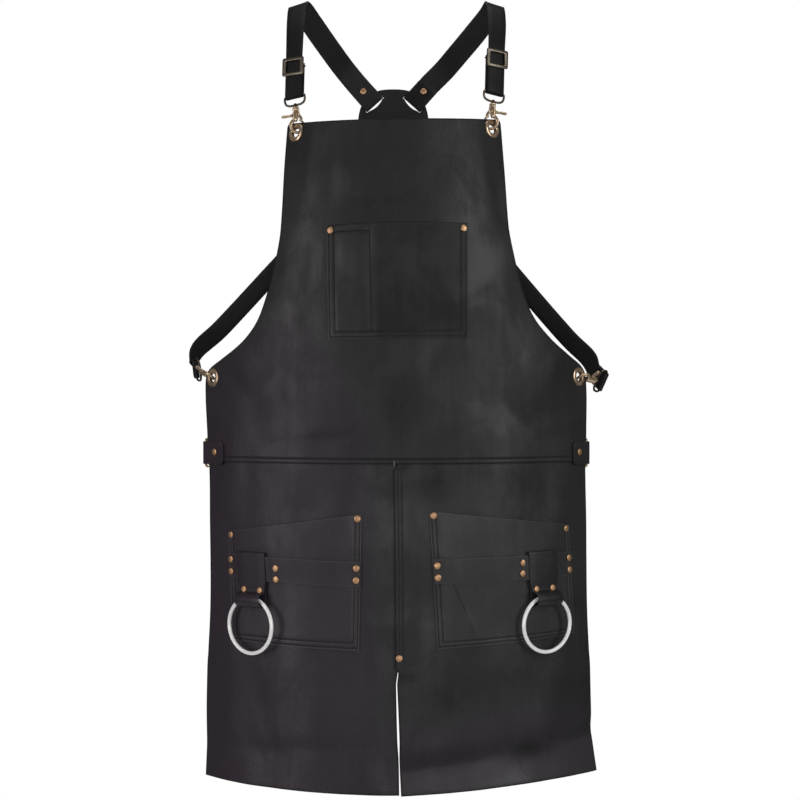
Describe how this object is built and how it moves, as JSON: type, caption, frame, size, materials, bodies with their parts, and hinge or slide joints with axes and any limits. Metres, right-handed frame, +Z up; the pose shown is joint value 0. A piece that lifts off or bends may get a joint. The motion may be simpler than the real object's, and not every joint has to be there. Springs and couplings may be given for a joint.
{
  "type": "leather work apron",
  "caption": "Cross-back faux leather work apron with bib and hip pockets, riveted tool bands, hanging tool rings, snap clasps and a split skirt, in its worn form.",
  "frame": {"origin": "where the shoulder straps rest, midway between the two strap crests", "axes": "+Z up, the front of the apron faces -Y, +X to the viewer's right"},
  "size_m": [0.5624, 0.2356, 1.0224],
  "materials": {
    "apron_leather": "soft satin black grain",
    "strap_leather": "matt black grain",
    "copper_rivet": "polished copper",
    "antique_brass": "antique brass",
    "bright_ring": "bright nickel"
  },
  "bodies": {
    "apron": {"bib_panel": "apron_leather", "skirt_left": "apron_leather", "skirt_right": "apron_leather", "bib_pocket": "apron_leather", "hip_pocket_left": "apron_leather", "hip_pocket_right": "apron_leather", "tool_band_left": "apron_leather", "tool_band_right": "apron_leather", "ring_hanger_left": "apron_leather", "ring_hanger_right": "apron_leather", "waist_tab_left": "apron_leather", "waist_tab_right": "apron_leather", "back_patch": "strap_leather", "shoulder_strap_left": "strap_leather", "shoulder_strap_right": "strap_leather", "side_strap_left": "strap_leather", "side_strap_right": "strap_leather", "rivet_bib_pocket_left": "copper_rivet", "rivet_bib_pocket_right": "copper_rivet", "rivet_hip_left_outer": "copper_rivet", "rivet_hip_left_inner": "copper_rivet", "rivet_hip_right_inner": "copper_rivet", "rivet_hip_right_outer": "copper_rivet", "rivet_band_left_outer_upper": "copper_rivet", "rivet_band_left_outer_lower": "copper_rivet", "rivet_band_left_inner_upper": "copper_rivet", "rivet_band_left_inner_lower": "copper_rivet", "rivet_band_right_outer_upper": "copper_rivet", "rivet_band_right_outer_lower": "copper_rivet", "rivet_band_right_inner_upper": "copper_rivet", "rivet_band_right_inner_lower": "copper_rivet", "rivet_waist_tab_left": "copper_rivet", "rivet_waist_tab_right": "copper_rivet", "rivet_slit_top": "copper_rivet", "rivet_patch_upper_left": "copper_rivet", "rivet_patch_upper_right": "copper_rivet", "rivet_patch_lower_left": "copper_rivet", "rivet_patch_lower_right": "copper_rivet", "grommet_bib_left": "antique_brass", "grommet_bib_right": "antique_brass", "grommet_side_left": "antique_brass", "grommet_side_right": "antique_brass", "clasp_bib_left": "antique_brass", "clasp_bib_right": "antique_brass", "clasp_side_left": "antique_brass", "clasp_side_right": "antique_brass", "eye_bib_left": "antique_brass", "eye_bib_right": "antique_brass", "eye_side_left": "antique_brass", "eye_side_right": "antique_brass", "slider_left": "antique_brass", "slider_right": "antique_brass", "waist_ring_left": "antique_brass", "waist_ring_right": "antique_brass"},
    "lever_bib_left": {"lever_bib_left": "antique_brass"},
    "lever_bib_right": {"lever_bib_right": "antique_brass"},
    "lever_side_left": {"lever_side_left": "antique_brass"},
    "lever_side_right": {"lever_side_right": "antique_brass"},
    "tool_ring_left": {"tool_ring_left": "bright_ring"},
    "tool_ring_right": {"tool_ring_right": "bright_ring"}
  },
  "joints": [
    {"name": "lever_bib_left_hinge", "type": "hinge", "parent": "apron", "child": "lever_bib_left", "pos_m": [-0.13018, -0.04683, -0.15201], "axis": [-0.1399, 0.9881, -0.064], "range_deg": [0, 10], "stiffness_Nm_per_rad": 0.02, "springref_deg": -11.46},
    {"name": "lever_bib_right_hinge", "type": "hinge", "parent": "apron", "child": "lever_bib_right", "pos_m": [0.12272, -0.04581, -0.1471], "axis": [-0.1383, -0.9881, 0.0667], "range_deg": [0, 10], "stiffness_Nm_per_rad": 0.02, "springref_deg": -11.46},
    {"name": "lever_side_left_hinge", "type": "hinge", "parent": "apron", "child": "lever_side_left", "pos_m": [-0.25467, 0.00834, -0.48509], "axis": [-0.5499, -0.1359, -0.8241], "range_deg": [0, 10], "stiffness_Nm_per_rad": 0.02, "springref_deg": -11.46},
    {"name": "lever_side_right_hinge", "type": "hinge", "parent": "apron", "child": "lever_side_right", "pos_m": [0.25549, 0.00579, -0.49258], "axis": [-0.2755, 0.4551, 0.8468], "range_deg": [0, 10], "stiffness_Nm_per_rad": 0.02, "springref_deg": -11.46},
    {"name": "tool_ring_left_hinge", "type": "hinge", "parent": "apron", "child": "tool_ring_left", "pos_m": [-0.18771, -0.07031, -0.77563], "axis": [-0.8164, 0.5774, 0], "range_deg": [-3, 110]},
    {"name": "tool_ring_right_hinge", "type": "hinge", "parent": "apron", "child": "tool_ring_right", "pos_m": [0.19171, -0.07026, -0.77381], "axis": [-0.8289, -0.5595, 0], "range_deg": [-3, 110]}
  ]
}
